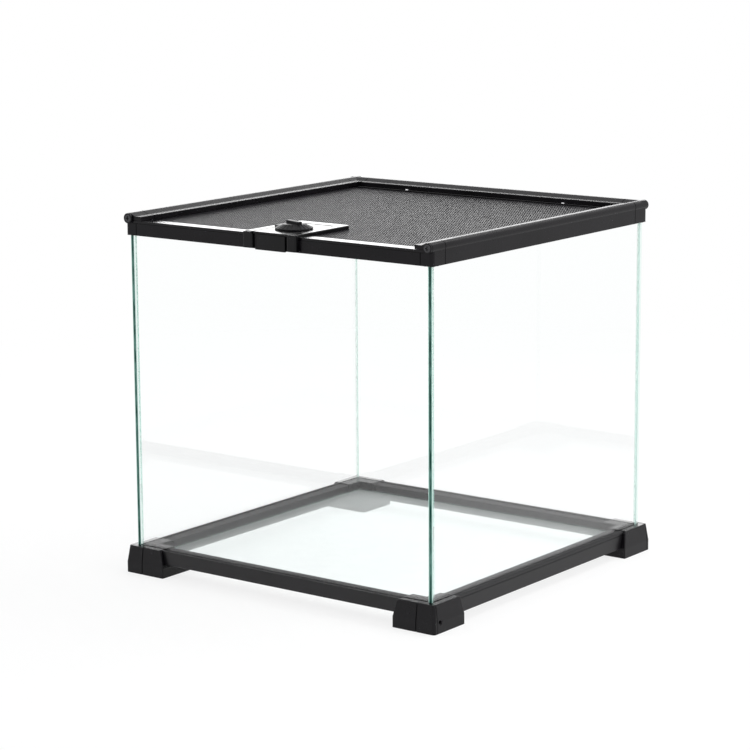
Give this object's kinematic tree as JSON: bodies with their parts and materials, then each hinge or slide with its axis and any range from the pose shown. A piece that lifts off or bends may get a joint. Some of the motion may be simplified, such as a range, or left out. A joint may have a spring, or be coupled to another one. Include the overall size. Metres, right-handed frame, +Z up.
{
  "type": "terrarium",
  "caption": "Square glass reptile terrarium with a black plastic frame, corner feet and a sliding screen lid that carries a latched feeding hatch.",
  "frame": {"origin": "centre of the footprint, on the surface that the feet stand on", "axes": "+X to the right seen from the front, +Y to the back, +Z up"},
  "size_m": [0.3088, 0.3088, 0.2964],
  "materials": {
    "glass": "clear float glass, 3 mm, with green cut edges",
    "silicone": "clear cured silicone with small bubbles",
    "top_plastic": "black extruded plastic, satin",
    "base_plastic": "black extruded plastic, satin",
    "foot_plastic": "black moulded plastic, satin",
    "lid_plastic": "black plastic, glossy on top",
    "hatch_plastic": "black moulded plastic, glossy on top",
    "latch_plastic": "black moulded plastic",
    "screen_metal": "black powder-coated perforated steel",
    "screw_steel": "black-coated steel",
    "rivet_aluminium": "bright aluminium",
    "pin_steel": "bright steel wire"
  },
  "bodies": {
    "tank": {"front_glass": "glass", "back_glass": "glass", "left_glass": "glass", "right_glass": "glass", "floor_glass": "glass", "corner_silicone": "silicone", "floor_silicone": "silicone", "front_top_rail": "top_plastic", "back_top_rail": "top_plastic", "left_top_rail": "top_plastic", "right_top_rail": "top_plastic", "front_left_cap": "top_plastic", "front_right_cap": "top_plastic", "back_left_cap": "top_plastic", "back_right_cap": "top_plastic", "frame_screws": "screw_steel", "front_base_rail": "base_plastic", "back_base_rail": "base_plastic", "left_base_rail": "base_plastic", "right_base_rail": "base_plastic", "front_left_foot": "foot_plastic", "front_right_foot": "foot_plastic", "back_left_foot": "foot_plastic", "back_right_foot": "foot_plastic", "front_left_foot_cap": "foot_plastic", "front_right_foot_cap": "foot_plastic", "back_left_foot_cap": "foot_plastic", "back_right_foot_cap": "foot_plastic"},
    "lid": {"lid_front_bar": "lid_plastic", "lid_left_bar": "lid_plastic", "lid_right_bar": "lid_plastic", "lid_back_bar": "lid_plastic", "lid_screen": "screen_metal", "lid_rivets": "rivet_aluminium", "hatch_frame": "hatch_plastic", "hinge_pin": "pin_steel", "front_plate": "hatch_plastic"},
    "hatch": {"hatch_door": "hatch_plastic"},
    "latch": {"latch_knob": "latch_plastic", "latch_pawl": "latch_plastic"}
  },
  "joints": [
    {"name": "lid_slide", "type": "slide", "parent": "tank", "child": "lid", "axis": [0, -1, 0], "range_m": [0, 0.295]},
    {"name": "hatch_hinge", "type": "hinge", "parent": "lid", "child": "hatch", "pos_m": [0, -0.0967, 0.2886], "axis": [-1, 0, 0], "range_deg": [0, 95]},
    {"name": "knob_turn", "type": "hinge", "parent": "hatch", "child": "latch", "pos_m": [0.001, -0.1245, 0.29055], "axis": [0, 0, -1], "range_deg": [0, 90]}
  ]
}
